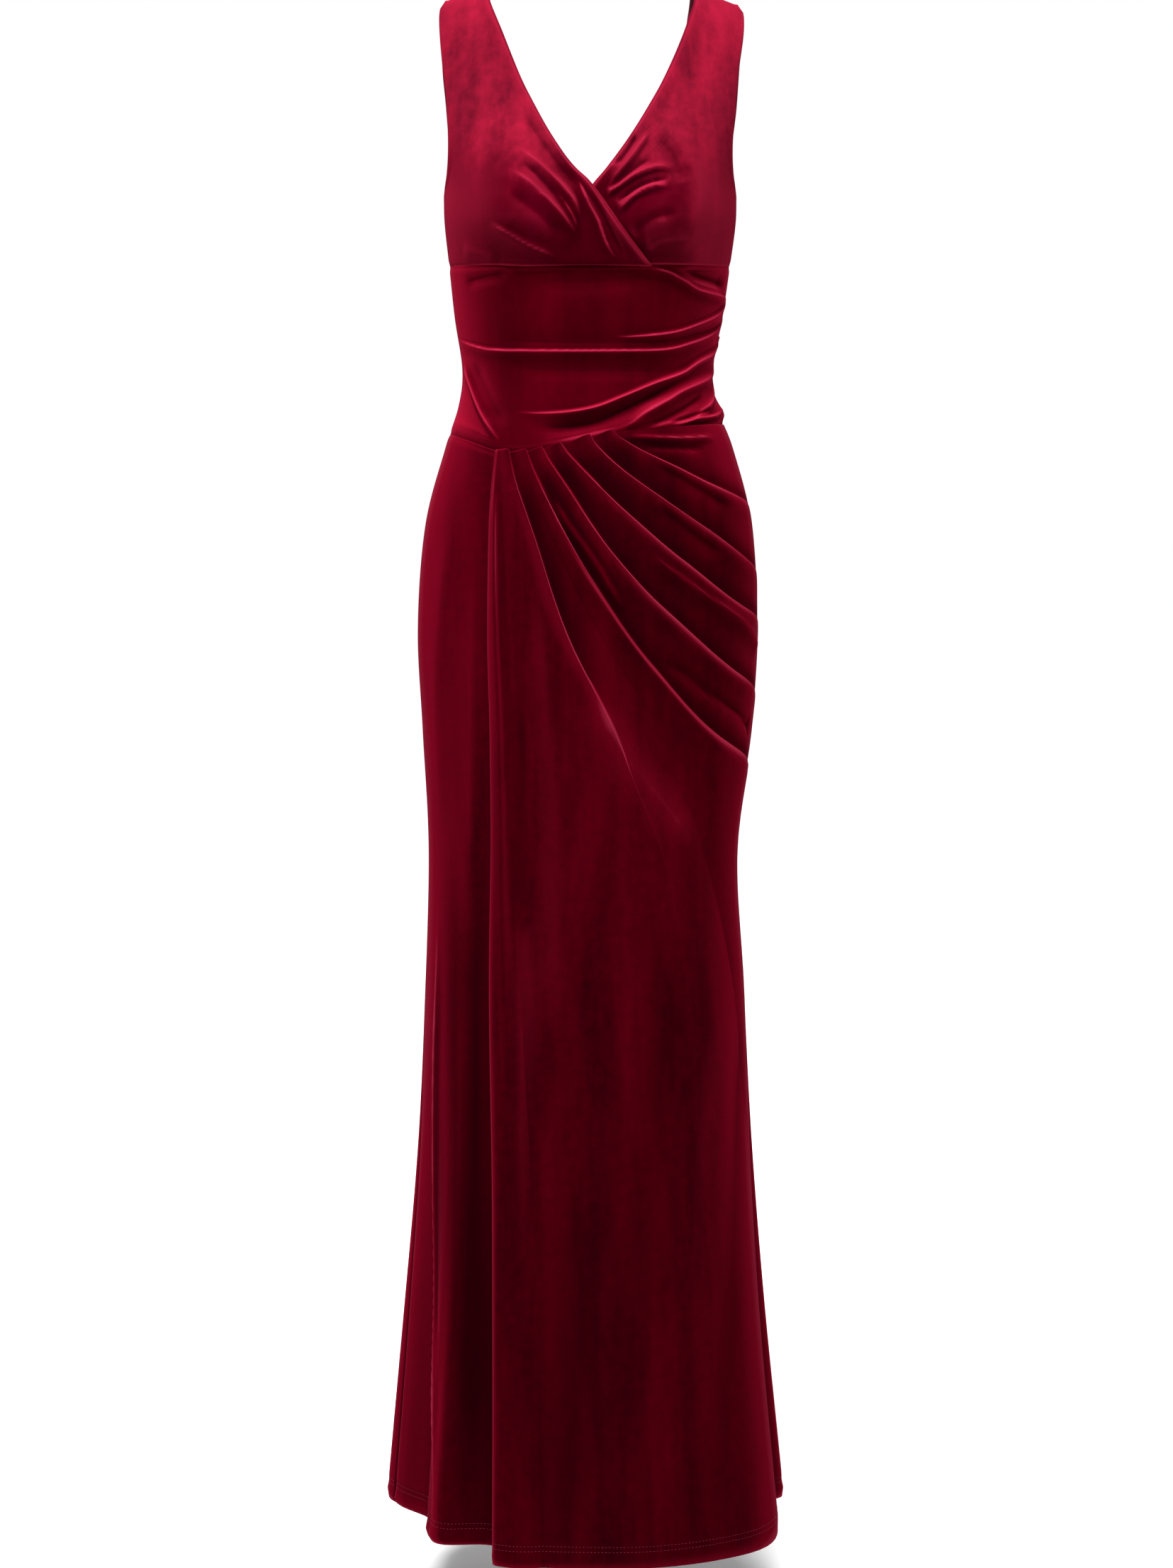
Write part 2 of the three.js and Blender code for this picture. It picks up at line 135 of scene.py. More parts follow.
# Creases of the velvet, each with its height, which is below 0 in a groove, its half widths to the
# left and to the right of its way, and the points of the front view that it runs through
BUST_UPPER_CREASES = [
    (-3.4, 7, 8, ((-62, -108), (-46, -130), (-30, -152), (-12, -176), (0, -192))),
    (3.5, 3, 6, ((-66, -142), (-54, -152), (-38, -166), (-24, -180), (-12, -196), (-4, -214))),
    (-2.9, 4, 4, ((-62, -156), (-46, -168), (-30, -186), (-16, -206))),
    (3.7, 3, 6, ((-72, -164), (-60, -172), (-46, -184), (-32, -199), (-18, -214), (-6, -228))),
    (-2.2, 6, 6, ((-72, -184), (-54, -196), (-36, -212), (-22, -228))),
    (2.4, 3, 7, ((-92, -212), (-76, -221), (-58, -230), (-40, -238), (-26, -246))),
    (2.5, 1.8, 4, ((-10, -172), (2, -196), (12, -212), (20, -232), (30, -250))),
    (-1.8, 2.5, 2.5, ((-2, -180), (12, -200), (22, -218), (36, -246))),
    (1.7, 1.8, 3, ((-30, -184), (-22, -196), (-14, -208), (-8, -220))),
    (1.5, 6, 8, ((-118, -236), (-100, -240), (-80, -246))),
]
BUST_LOWER_CREASES = [
    (3.2, 8, 11, ((44, -122), (56, -120), (72, -128), (88, -144), (99, -168), (104, -196),
                  (96, -226), (78, -246))),
    (-2.6, 7, 8, ((60, -134), (74, -142), (84, -158), (88, -178))),
    (3.3, 2.2, 4, ((58, -128), (50, -142), (40, -156), (30, -168), (18, -182))),
    (-3.2, 4, 3, ((48, -130), (38, -146), (26, -162))),
    (-3.2, 4, 4, ((62, -152), (48, -160), (34, -172), (22, -184))),
    (4.0, 2, 4, ((84, -163), (66, -164), (48, -170), (34, -178), (20, -188), (12, -196))),
    (-3.9, 3, 3, ((78, -172), (58, -176), (42, -184), (28, -196))),
    (3.5, 2, 5, ((78, -180), (62, -182), (48, -188), (36, -198), (28, -210))),
    (-2.1, 6, 6, ((88, -204), (66, -208), (50, -218), (40, -232))),
    (2.5, 4, 7, ((98, -224), (84, -225), (68, -228), (56, -236), (50, -246))),
]
MIDRIFF_CREASES = [
    (3.2, 1.8, 6, ((56, -253), (76, -258), (92, -266), (108, -275), (130, -281), (150, -284))),
    (-4.5, 7, 5, ((88, -256), (110, -264), (132, -271))),
    (-1.2, 8, 9, ((-60, -266), (0, -268), (60, -265), (100, -278))),
    (-1.6, 5, 6, ((-116, -268), (-92, -262), (-70, -259))),
    (1.6, 20, 26, ((-90, -290), (-40, -292), (20, -292), (70, -288))),
    (3.2, 2.0, 7, ((20, -318), (44, -318), (81, -314), (106, -306), (126, -296), (150, -284))),
    (-1.1, 9, 4, ((-100, -320), (-30, -323), (30, -323), (76, -322), (106, -315), (134, -304))),
    (2.7, 1.8, 7, ((-128, -318), (-112, -325), (-90, -330), (-50, -331), (20, -331), (72, -330),
                   (98, -324), (124, -312), (150, -300))),
    (-1.8, 8, 9, ((-84, -345), (-40, -349), (20, -350), (76, -350), (104, -343))),
    (0.5, 18, 16, ((-76, -366), (-30, -368), (20, -362), (60, -350))),
    (4.5, 2.4, 5, ((-72, -388), (-46, -390), (-16, -389), (10, -384), (36, -374), (64, -362),
                   (90, -352), (108, -340), (128, -324), (150, -310))),
    (-5.5, 5, 9, ((-52, -402), (-20, -402), (10, -397), (38, -385), (66, -372), (92, -360))),
    (5.0, 5, 6, ((22, -409), (38, -402), (56, -389), (76, -378), (98, -366), (128, -346), (150, -336))),
    (-3.0, 4, 5, ((46, -409), (72, -396), (92, -386), (112, -372))),
    (4.4, 4, 5, ((94, -402), (106, -392), (120, -376), (127, -358), (134, -344))),
    (3.4, 2, 3, ((70, -405), (88, -401), (104, -397), (124, -393), (150, -388))),
    (-2.6, 2.5, 2.5, ((78, -399), (96, -394), (118, -386))),
    (4.2, 4, 2.5, ((-119, -338), (-112, -358), (-104, -380), (-95, -398), (-80, -418))),
    (-1.6, 8, 9, ((-110, -340), (-100, -360), (-88, -384), (-74, -404))),
    (1.6, 6, 9, ((-128, -398), (-112, -404), (-94, -411), (-76, -420))),
]
MIDRIFF_BACK_CREASES = [
    (3.2, 3, 9, ((-40, -276), (20, -280), (84, -278), (150, -284))),
    (4.4, 2.5, 10, ((-120, -322), (-60, -329), (20, -326), (90, -318), (150, -304))),
    (-2.8, 8, 8, ((-100, -344), (-40, -346), (40, -342), (100, -330))),
    (4.2, 3, 9, ((-90, -384), (-30, -382), (30, -368), (90, -346), (150, -324))),
    (-3.0, 3, 8, ((-60, -394), (0, -388), (60, -368), (110, -346))),
    (3.0, 3, 7, ((20, -400), (60, -386), (100, -366), (150, -346))),
    (2.4, 3, 6, ((60, -402), (100, -392), (150, -378))),
]
DRAPE_CREASES = [
    (-4.0, 2.5, 9, ((-84, -520), (-81, -600), (-77, -697), (-72, -778), (-68, -860), (-64, -940))),
    (4.0, 3, 6, ((-32, -466), (-17, -492), (-2, -513), (12, -534), (25, -556), (36, -576))),
    (3.2, 3.5, 8, ((52, -514), (78, -536), (108, -560), (128, -575), (152, -598))),
    (-2.4, 4, 7, ((56, -434), (84, -449), (112, -466), (136, -482))),
    (-2.4, 4, 8, ((62, -474), (84, -491), (106, -508), (130, -526))),
    (-3.0, 5, 5, ((66, -616), (92, -634), (116, -654), (150, -684))),
    (2.8, 2.5, 3.5, ((30, -411), (60, -413), (92, -414), (122, -413))),
    (-2.0, 3.5, 3.5, ((50, -420), (84, -422), (112, -423))),
]

# Wide, soft bands down the skirt, which show more by the light and shade painted on them than by their
# height
DRAPE_BANDS = [
    (2.8, 16, 26, ((0, -640), (16, -672), (40, -718), (66, -752), (88, -784), (106, -820))),
    (2.0, 24, 28, ((130, -930), (124, -980), (116, -1030), (108, -1130), (98, -1215), (86, -1300),
                   (72, -1400), (64, -1496))),
    (-1.6, 22, 22, ((70, -860), (76, -980), (66, -1100), (44, -1240), (30, -1400))),
    (-2.6, 24, 24, ((-8, -1100), (-12, -1200), (-14, -1340), (-12, -1496))),
    (1.8, 10, 16, ((-48, -500), (-42, -600), (-34, -760), (-30, -900), (-30, -1040))),
    (3.2, 12, 14, ((-60, -830), (-58, -960), (-57, -1060), (-58, -1180), (-62, -1300))),
    (-3.2, 8, 8, ((-62, -640), (-61, -740), (-58, -840), (-56, -900))),
    (-2.0, 16, 16, ((150, -900), (146, -1100), (140, -1300), (134, -1496))),
]
PLAIN_BANDS = [
    (4.4, 6, 3.2, ((-144, -860), (-147, -980), (-149, -1160), (-150, -1330), (-150, -1494))),
    (-4.4, 16, 20, ((-103, -760), (-108, -900), (-110, -1060), (-112, -1250), (-112, -1494))),
    (1.8, 12, 14, ((-128, -470), (-140, -560), (-146, -680), (-140, -800))),
    (-1.6, 12, 12, ((-124, -760), (-128, -900), (-130, -1100), (-128, -1400))),
    (1.6, 10, 14, ((-108, -520), (-112, -700), (-110, -960))),
]
SKIRT_BACK_BANDS = [
    (3.0, 16, 18, ((-60, -620), (-74, -800), (-84, -1000), (-96, -1250), (-104, -1494))),
    (3.2, 16, 18, ((64, -640), (78, -800), (88, -1000), (98, -1250), (106, -1494))),
    (-2.6, 18, 18, ((-30, -700), (-44, -900), (-54, -1200), (-60, -1494))),
    (-2.6, 18, 18, ((34, -700), (46, -900), (54, -1200), (58, -1494))),
    (2.4, 9, 12, ((150, -470), (120, -520), (84, -560), (50, -590))),
    (2.0, 9, 12, ((150, -540), (124, -600), (92, -640), (60, -664))),
    (2.0, 14, 16, ((-128, -560), (-134, -760), (-140, -1000), (-150, -1300))),
]

# The drape's lines from head to foot: across counts quarter turns from the centre front
DRAPE_LINES = (
    ("free edge", ((-0.42, -427), (-0.385, -520), (-0.374, -660), (-0.37, -880), (-0.334, -1150),
                   (-0.29, -1500))),
    ("edge fold", ((-0.38, -427), (-0.32, -510), (-0.285, -640), (-0.265, -850), (-0.19, -1130),
                   (-0.13, -1500))),
    ("first pleat", ((-0.34, -427), (-0.2, -500), (-0.06, -602), (0.16, -724), (0.4, -930), (0.3, -1500))),
    ("hem corner", ((-0.3, -427), (-0.16, -490), (0.03, -588), (0.33, -722), (0.68, -940), (1, -1500))),
    ("second pleat", ((-0.262, -426), (-0.14, -475), (0.02, -545), (0.23, -625), (0.52, -697), (1, -742))),
    ("third pleat", ((-0.192, -423), (-0.07, -461), (0.1, -522), (0.29, -576), (0.58, -634), (1, -672))),
    ("fourth pleat", ((-0.113, -419), (0.01, -448), (0.17, -487), (0.36, -529), (0.62, -572), (1, -598))),
    ("fifth pleat", ((0.014, -414), (0.12, -438), (0.27, -466), (0.45, -497), (0.69, -530), (1, -552))),
    ("sixth pleat", ((0.113, -409), (0.22, -424), (0.36, -440), (0.53, -459), (0.74, -474), (1, -484))),
    ("waist side", ((0.2, -407), (0.32, -405), (0.46, -403), (0.62, -402), (0.8, -402), (1, -402))),
)

PLEATS = table("line lift", [(2, 10), (4, 12), (5, 11), (6, 10), (7, 10), (8, 8)])
LAST_LINE = len(DRAPE_LINES) - 1
LAST_STATION = len(DRAPE_LINES[0][1]) - 1

# A pleat's edge in section: over is along the cloth past the line, height a share of the roll's
PLEAT_EDGE = table("over height", [
    (0, 1), (0.7, 0.86), (0.7, 0.68), (-0.3, 0.52), (-2, 0.38), (-3.2, 0.22), (-2.8, 0.08),
    (-1, 0.01), (1.6, 0),
])
HEM_CORNER = 3  # the line that ends at the hem and the side seam
PLEAT_ROLL = 13  # how wide it rolls over, and how much lower its edge lies than its crest
ROLL_DROP = 0.42
PLEAT_STEEPNESS = 2.1
HOLLOW_WIDTH = 15  # of the shade beside a pleat's edge
HOLLOW_SHADE = 0.9
LONGEST = 2  # the line of the pleat that runs out down the skirt, where the others get flatter
LONGEST_ENDS, HOLLOW_ENDS = (2.1, 3.1), (1.7, 2.8)  # counted in rows of the lines, as v is
OTHERS_FLATTEN, FLATTER_BY = (4.2, 5), 0.4
DEEPEST_PLEAT = 0.34  # of its own width, where pleats crowd at the waist
BAND_PAINTED_LIGHT = 0.15  # how much light is painted on a soft band for each millimetre that it stands out, and shade where it sinks in
HEM_SHADE = 0.3  # how much painted shade darkens the skirt towards the hem
# Painted shadow beside the drape's free edge, painted shade in the hollow behind the side fold, and a
# painted highlight along that fold's crest
OVERHUNG_SHADE, OVERHUNG_WIDTH = 0.55, 26  # on the plain panel, beside the drape's free edge
BEHIND_SHADE, BEHIND_ACROSS, BEHIND_WIDTH = 0.6, -0.7, 0.09  # in the hollow behind its fold
CREST_LIGHT, CREST_X, CREST_WIDTH = 0.45, -149, 4  # along the crest of that fold

HEM_DEPTH = 17
NEEDLES_APART = 5  # the hem is sewn by a twin needle
STITCH_GROOVE, GROOVE_WIDTH = 0.5, 1.3
STITCH_PITCH, STITCH_LONG, STITCH_THICK, STITCH_OUT = 3.6, 2.6, 0.45, 0.1

BUNCH_OUT, BUNCH_Z, BUNCH_TALL, BUNCH_WIDE = 5, -392, 13, 20  # where the midriff bunches up
WAIST_QUARTER = 170  # from the centre front round to a side seam
LOW_AT_SEAM = 0.12  # how much of their height its creases keep at the side seams
FLAT_AT_SEAM = 0.15  # how much of their height pleats keep at the side seam
FREE_EDGE_DROP, FREE_EDGE_WIDTH = 3.2, 2.6  # how the drape's free edge is turned under
EDGE_STANDS, EDGE_REACHES = (1.6, 5), (0, 2.2)  # rows and lines in which that edge stands off


def smooth(start, end, value):
    """0 before the start, 1 past the end, and an even S between them."""
    t = np.clip((value - start) / (end - start), 0, 1)
    return t * t * (3 - 2 * t)


def mix(a, b, share):
    return a + (b - a) * share


def near(distance, width):
    """1 at a place, and fading to 0 at about twice the width on both sides."""
    return np.exp(-((distance / width) ** 2))


def along(column, place):
    """A smooth curve through a column, counted in rows from 0."""
    last = len(column) - 1
    i = np.clip(np.floor(place).astype(int), 0, last - 1)
    t = place - i
    ends = ([2 * column[0] - column[1]], column, [2 * column[-1] - column[-2]])
    padded = np.concatenate(ends)
    before, here, ahead, after = (padded[i + k] for k in range(4))
    bend = 2 * before - 5 * here + 4 * ahead - after
    twist = 3 * here - 3 * ahead + after - before
    return here + 0.5 * t * (ahead - before + t * (bend + t * twist))


def place_of(column, value):
    """The place, counted in rows, where a column that rises or falls all the way has a value."""
    places = np.linspace(0, len(column) - 1, 500 * len(column))
    values = along(column, places)
    if values[-1] < values[0]:
        return np.interp(-np.asarray(value, float), -values, places)
    return np.interp(value, values, places)


def read(rows, start, end, value):
    """A table's column at the place where another one of its columns has a value."""
    return along(rows[end], place_of(rows[start], value))


def level_of(z):
    """Place of a height in the figure's table, counted in rows from the shoulders."""
    return place_of(FORM["z"], z)


def ring_at(level):
    return {name: along(column, level) for name, column in FORM.items()}


def across_of(x, level):
    """How far round, in quarter turns, a point x to the side of the centre lies."""
    ring = ring_at(level)
    half = np.where(x < 0, ring["left"], ring["right"])
    across = np.zeros(np.shape(half + x))
    for _ in range(4):
        swung = 1 + hem_wave(across, ring["z"]) / SWING_RADIUS
        share = np.minimum(1, np.abs(x) / half / swung)
        rest = (1 - share ** ring["square"]) ** (1 / ring["square"])
        across = np.sign(x) * np.arctan2(share, rest) / (math.pi / 2)
    return across


def armhole_across(level, depth):
    """How far round the armhole's edge lies, a quarter turn less than its own opening."""
    ring = ring_at(level)
    half = np.maximum(0, read(ARMHOLE, "z", "half", ring["z"]))
    least = LEAST_ARMHOLE * smooth(-20, 0, ring["z"])
    share = np.maximum(half / np.maximum(ring[depth], 1), least)
    share = np.minimum(1, share)
    rest = (1 - share ** ring["square"]) ** (1 / ring["square"])
    across = np.arctan2(rest, share) / (math.pi / 2)
    return np.where(ring["z"] < ARMHOLE["z"][-1], 1.0, across)


def hem_wave(across, z):
    """How far the skirt swings out or in at a place, which grows towards the hem."""
    turn = np.mod(across + 2, 4) - 2
    grown = smooth(FLARE_STARTS_Z, HEM_Z, z) ** 1.1
    return grown * read(HEM_WAVE, "across", "out", turn)


def cups(x, z):
    """How far the bust stands out over the figure's rings."""
    fall = np.where(z > CUP_Z, CUP_ABOVE, CUP_BELOW)
    return CUP_OUT * near(z - CUP_Z, fall) * sum(near(x - middle, CUP_WIDE) for middle in CUPS_X)


def form_point(across, level):
    """Points of the figure in millimetres."""
    across, level = np.broadcast_arrays(across, level)
    ring = ring_at(level)
    square = ring["square"]
    sine = np.sin(across * math.pi / 2)
    cosine = np.cos(across * math.pi / 2)
    reach = (np.abs(sine) ** square + np.abs(cosine) ** square) ** (-1 / square)
    reach = reach * (1 + hem_wave(across, ring["z"]) / SWING_RADIUS)
    x = np.where(sine < 0, ring["left"], ring["right"]) * sine * reach
    depth = np.where(cosine > 0, ring["front"], ring["back"])
    bust = cups(x, ring["z"]) * smooth(0, 0.35, cosine)
    y = ring["middle"] - depth * cosine * reach - bust
    faded = smooth(SLOPE_FADES_Z, 0, ring["z"])
    z = ring["z"] + SHOULDER_SLOPE * (SHOULDER_MIDDLE_X - np.abs(x)) * faded
    return np.stack([x, y, z], axis=-1)


def outward(across, level):
    """The way straight out of the figure, as unit vectors."""
    d = 0.004
    low = np.clip(level, d, len(FORM["z"]) - 1 - d)
    sideways = form_point(across + d, low) - form_point(across - d, low)
    down = form_point(across, low + d) - form_point(across, low - d)
    normal = np.cross(down, sideways)
    return normal / np.linalg.norm(normal, axis=-1, keepdims=True)


def surface(across, level, out):
    """Points that lie so many millimetres out from the figure."""
    return form_point(across, level) + outward(across, level) * np.asarray(out)[..., None]


def waist_z(across):
    """Height of the seam between midriff and skirt, at a place round the front."""
    z = np.full(np.shape(across), -410.0)
    for _ in range(5):
        x = form_point(across, level_of(z))[..., 0]
        z = read(WAIST_SEAM, "x", "z", np.clip(x, -140, 142))
    return z


def waist_back_z(x):
    """Height of that seam round the back, which runs straight from one side to the other."""
    return mix(waist_z(np.array(1.0)), waist_z(np.array(-1.0)), smooth(142, -140, x))


def round_length(level):
    """Length of a quarter of the ring, near enough, for distances along the cloth."""
    ring = ring_at(level)
    half = (ring["left"] + ring["right"]) / 2
    deep = (ring["front"] + ring["back"]) / 2
    return math.pi / 2 * np.sqrt((half**2 + deep**2) / 2)


def crease_height(creases, turn, z):
    """Sum of the creases at places given as quarter turns from the middle and heights."""
    height = np.zeros(np.shape(z))
    side = turn * round_length(level_of(z))
    for out, upper, lower, points in creases:
        line, heading, gone = crease_route(points, min(upper, lower) / 2)
        reach = 3 * max(upper, lower)
        low, high = line.min(0) - reach, line.max(0) + reach
        close = (side > low[0]) & (side < high[0]) & (z > low[1]) & (z < high[1])
        here = np.stack([side[close], z[close]], 1)
        if len(here) == 0:
            continue
        apart = (here[:, :1] - line[:, 0]) ** 2 + (here[:, 1:] - line[:, 1]) ** 2
        best = np.argmin(apart, axis=1)
        off = here - line[best]
        run = heading[best]
        beside = off[:, 1] * run[:, 0] - off[:, 0] * run[:, 1]
        past = (off * run).sum(1)
        width = np.where(beside > 0, upper, lower)
        share = (gone[best] + past) / gone[-1]
        runs_out = smooth(1 - CREASE_ENDS, 1, share) * (points[-1][0] < SIDE_SEAM_X)
        ends = smooth(0, CREASE_ENDS, share) * (1 - runs_out)
        height[close] += out * ends * np.exp(-(np.abs(beside) / width) ** CREASE_FLANK)
    return height


def crease_route(points, step):
    """Close steps along a crease, its heading at each, and the way gone."""
    marks = np.array(points, float)
    level = level_of(marks[:, 1])
    sides = across_of(marks[:, 0], level) * round_length(level)
    rough = np.linspace(0, len(marks) - 1, 30 * len(marks))
    line = np.stack([along(sides, rough), along(marks[:, 1], rough)], 1)
    gone = np.concatenate([[0], np.cumsum(np.linalg.norm(np.diff(line, axis=0), axis=1))])
    even = np.linspace(0, gone[-1], int(gone[-1] / step) + 2)
    line = np.stack([np.interp(even, gone, line[:, k]) for k in range(2)], 1)
    heading = np.gradient(line, axis=0)
    heading /= np.linalg.norm(heading, axis=1, keepdims=True)
    return line, heading, even


def seam_tuck(distance):
    """A seam or turned edge draws the velvet in, distance millimetres away from it."""
    return -SEAM_TUCK * near(distance, SEAM_WIDTH)


def turned_edge(distance):
    """A free edge is turned under, which makes it round and a little fuller."""
    return EDGE_FULL * near(distance - 5, 4) - EDGE_ROUND * near(distance, 1.6)


def hem_shape(z, hem):
    """The hem is turned up, and its two rows of stitches draw it in."""
    above = z - hem
    rows = (above - HEM_DEPTH, above - HEM_DEPTH - NEEDLES_APART)
    return turned_edge(above) - STITCH_GROOVE * sum(near(row, GROOVE_WIDTH) for row in rows)


def hem_shade(z):
    """Painted shade: the lower skirt is painted darker towards the hem, where less light reaches it."""
    return HEM_SHADE * smooth(-850, HEM_Z, z)


def put(name, data):
    """An object for a mesh, lamp or camera, at the origin of the scene."""
    made = bpy.data.objects.new(name, data)
    bpy.context.collection.objects.link(made)
    return made


def as_mesh(bm, name):
    mesh = bpy.data.meshes.new(name)
    bm.to_mesh(mesh)
    bm.free()
    return mesh


def net(name, points, pile):
    """A mesh over rows and columns of points, which also keeps the painted light and shade of each point
    as its fold attribute.
    """
    bm = bmesh.new()
    tall, wide = len(points) - 1, len(points[0]) - 1
    bmesh.ops.create_grid(bm, x_segments=wide, y_segments=tall, size=1)
    bm.verts.ensure_lookup_table()
    at = np.array([v.co[:2] for v in bm.verts])
    i = np.rint((at[:, 0] + 1) / 2 * wide).astype(int)
    j = np.rint((1 - at[:, 1]) / 2 * tall).astype(int)
    for vert, point in zip(bm.verts, points[j, i] * MM):
        vert.co = point
    lay_flat(bm, points, i, j)
    mesh = as_mesh(bm, name)
    fold = mesh.attributes.new("fold", "FLOAT", "POINT")
    fold.data.foreach_set("value", pile[j, i].astype(np.float32))
    mesh.shade_smooth()
    return mesh


def cloth(name, finish, columns, rows, place, hem=None):
    """A panel over a net of places; place gives across, level and out, and the painted shade, which is
    painted light below 0, for columns and rows. hem picks the columns that end at a stitched hem."""
    u, v = np.meshgrid(columns, rows)
    across, level, out, *shades = place(u, v)
    points = surface(across, level, out)
    # pile holds painted light above 0 and painted shade below 0, for the fold attribute
    pile = np.clip(painted_fold_light(points, across, level) - sum(shades), -1, 1)
    mesh = net(name + "_cloth", points, pile)
    mesh.materials.append(finish)
    mesh.materials.append(JERSEY)
    piece = put(name + "_cloth", mesh)
    wall = piece.modifiers.new("wall", "SOLIDIFY")
    wall.thickness = CLOTH * MM
    wall.offset = -1
    wall.material_offset = 1
    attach(piece, "root")
    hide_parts(name)
    stitches = [] if hem is None else [hem_stitches(name, points[:, hem])]


def turning(points, normal, axis):
    """How sharply the cloth turns along its rows or columns, above 0 on a crest, per millimetre."""
    step = np.diff(points, axis=axis)
    length = np.maximum(np.linalg.norm(step, axis=-1), 0.05)
    bend = np.diff(step / length[..., None], axis=axis)
    inner = (slice(None), slice(1, -1)) if axis else slice(1, -1)
    later = (slice(None), slice(1, None)) if axis else slice(1, None)
    earlier = (slice(None), slice(None, -1)) if axis else slice(None, -1)
    turn = np.zeros(points.shape[:2])
    both = length[later] + length[earlier]
    turn[inner] = -2 * (bend * normal[inner]).sum(-1) / both * smooth(0.4, 2.2, both)
    return turn


def painted_fold_light(points, across, level):
    """Painted highlight on a crest or a slope that faces up, as if lit from above, to 1, and painted shade
    in a hollow, to -1.
    """
    along_rows = np.gradient(points, axis=1)
    down_columns = np.gradient(points, axis=0)
    normal = np.cross(down_columns, along_rows)
    normal /= np.maximum(np.linalg.norm(normal, axis=-1, keepdims=True), 1e-9)
    turn = turning(points, normal, 0) + turning(points, normal, 1)
    faces_up = (normal - outward(across, level))[..., 2]
    return TURN_HIGHLIGHT * np.tanh(turn / SHARP_TURN) + UPWARD_SLOPE_HIGHLIGHT * faces_up


def lay_flat(bm, points, i, j):
    """The cloth's own coordinates, in metres along its rows and columns."""
    step = np.linalg.norm(np.diff(points, axis=1), axis=2)
    side = np.concatenate([np.zeros((len(points), 1)), np.cumsum(step, axis=1)], axis=1)
    side = (side - side.mean(axis=1, keepdims=True)) * MM
    drop = np.linalg.norm(np.diff(points, axis=0), axis=2).mean(axis=1)
    down = -np.concatenate([[0], np.cumsum(drop)]) * MM
    layer = bm.loops.layers.uv.new("cloth")
    for face in bm.faces:
        for loop in face.loops:
            k = loop.vert.index
            loop[layer].uv = (side[j[k], i[k]], down[j[k]])


def evenly(count):
    return np.linspace(0, 1, count + 1)


# Materials


def linear(code):
    """An sRGB hex colour as linear red, green, blue and alpha."""
    parts = [int(code[k : k + 2], 16) / 255 for k in (1, 3, 5)]
    return [c / 12.92 if c <= 0.04045 else ((c + 0.055) / 1.055) ** 2.4 for c in parts] + [1]


def add(tree, kind, values=None, links=None, **settings):
    """Adds a node, sets its settings and socket values, and links other sockets into it."""
    made = tree.nodes.new(kind)
    for key, value in settings.items():
        setattr(made, key, value)
    for key, value in (values or {}).items():
        made.inputs[key].default_value = value
    for key, socket in (links or {}).items():
        tree.links.new(socket, made.inputs[key])
    return made


def fresh(name):
    material = bpy.data.materials.new(name)
    material.use_nodes = True
    material.node_tree.nodes.clear()
    return material, material.node_tree


def noise(tree, place, size, detail=2, roughness=0.5):
    """A noise whose patches are so many millimetres across."""
    values = {"Scale": 1 / (size * MM), "Detail": detail, "Roughness": roughness}
    return add(tree, "ShaderNodeTexNoise", values, {"Vector": place}).outputs["Fac"]


def ramp(tree, value, start, end, low=0, high=1, kind="LINEAR"):
    """A value's share of the way from start to end, as a number from low to high."""
    values = {"From Min": start, "From Max": end, "To Min": low, "To Max": high}
    return add(tree, "ShaderNodeMapRange", values, {"Value": value}, interpolation_type=kind).outputs[0]


def worked(tree, kind, first, second):
    """Arithmetic on two sockets."""
    return add(tree, "ShaderNodeMath", links={0: first, 1: second}, operation=kind).outputs[0]


def bump(tree, height, strength, distance, under=None):
    """The direction that a surface with such a height faces, over another bump or none."""
    values = {"Strength": strength, "Distance": distance}
    links = {"Height": height, "Normal": under} if under else {"Height": height}
    return add(tree, "ShaderNodeBump", values, links).outputs[0]


def coated(tree, values, **links):
    """Ends a material with its surface."""
    links = {key.replace("_", " "): socket for key, socket in links.items()}
    shader = add(tree, "ShaderNodeBsdfPrincipled", values, links)
    add(tree, "ShaderNodeOutputMaterial", links={"Surface": shader.outputs[0]})


